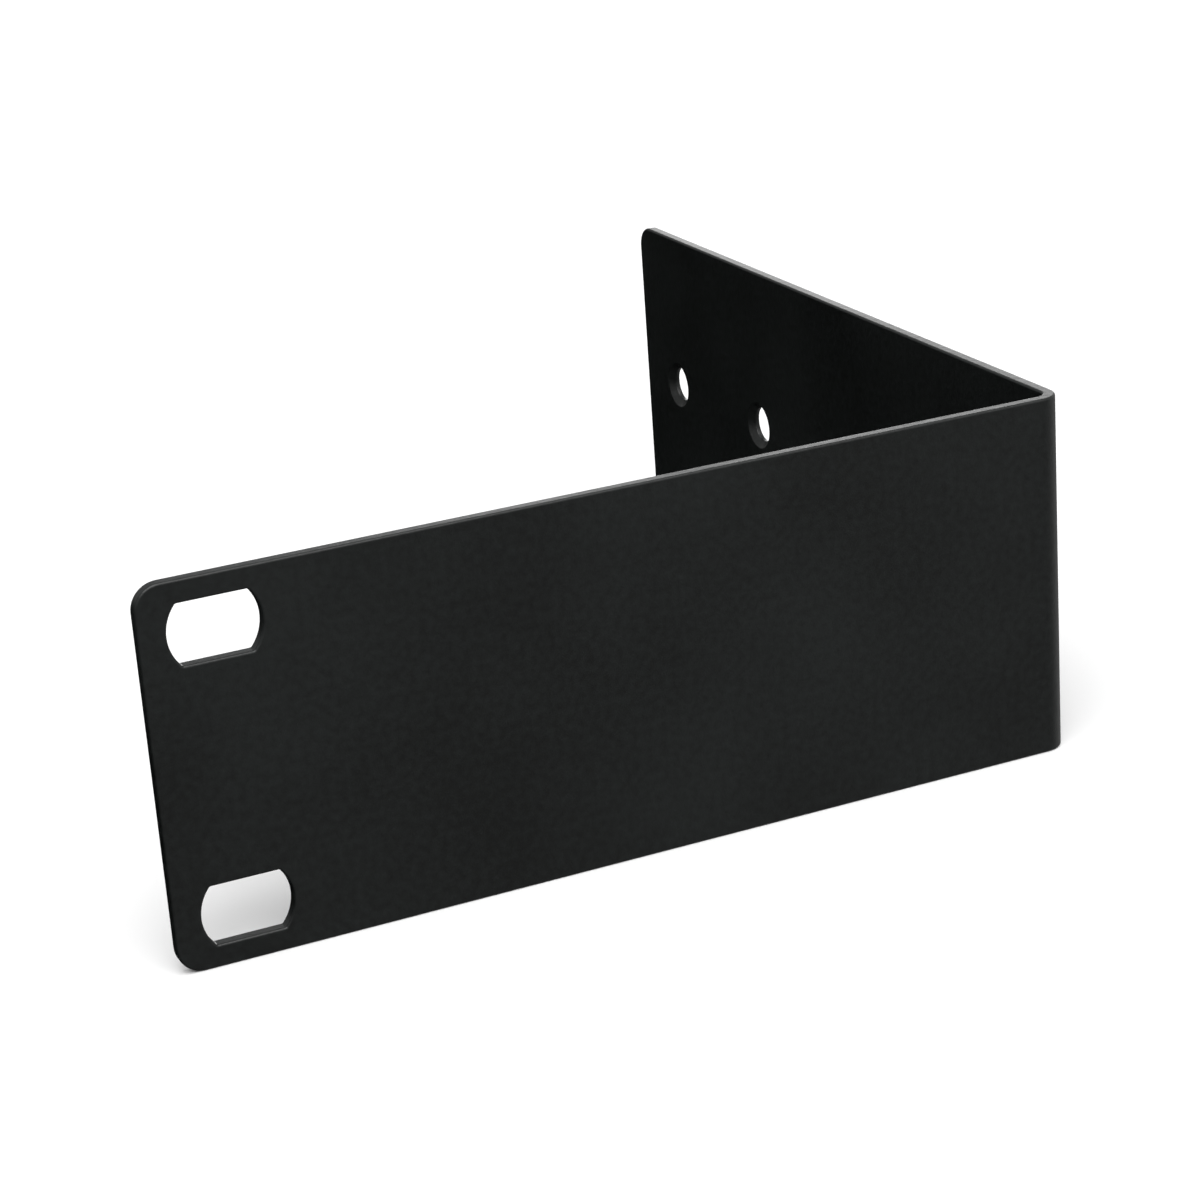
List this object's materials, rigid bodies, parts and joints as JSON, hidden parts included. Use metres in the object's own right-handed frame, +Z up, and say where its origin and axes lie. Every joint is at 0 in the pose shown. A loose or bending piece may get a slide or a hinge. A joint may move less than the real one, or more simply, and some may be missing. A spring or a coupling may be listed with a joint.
{
  "type": "rack mount ear bracket",
  "caption": "Sheet steel ear folded into an L: the face has rack slots at its free edge, and the flange has a row of countersunk holes for the side of the equipment.",
  "frame": {"origin": "middle of the L's footprint, on the surface that its lower edges stand on: half-way from the face's free edge to the flange's outer side in X, and half-way from the face's front to the flange's free end in Y", "axes": "+X from the face's free edge towards the flange, +Y from the face towards the back of the rack, +Z up the rack"},
  "size_m": [0.111, 0.11, 0.0437],
  "materials": {
    "powder_coat": "smooth satin black powder coat"
  },
  "bodies": {
    "root": {"ear_bracket": "powder_coat"}
  },
  "joints": []
}
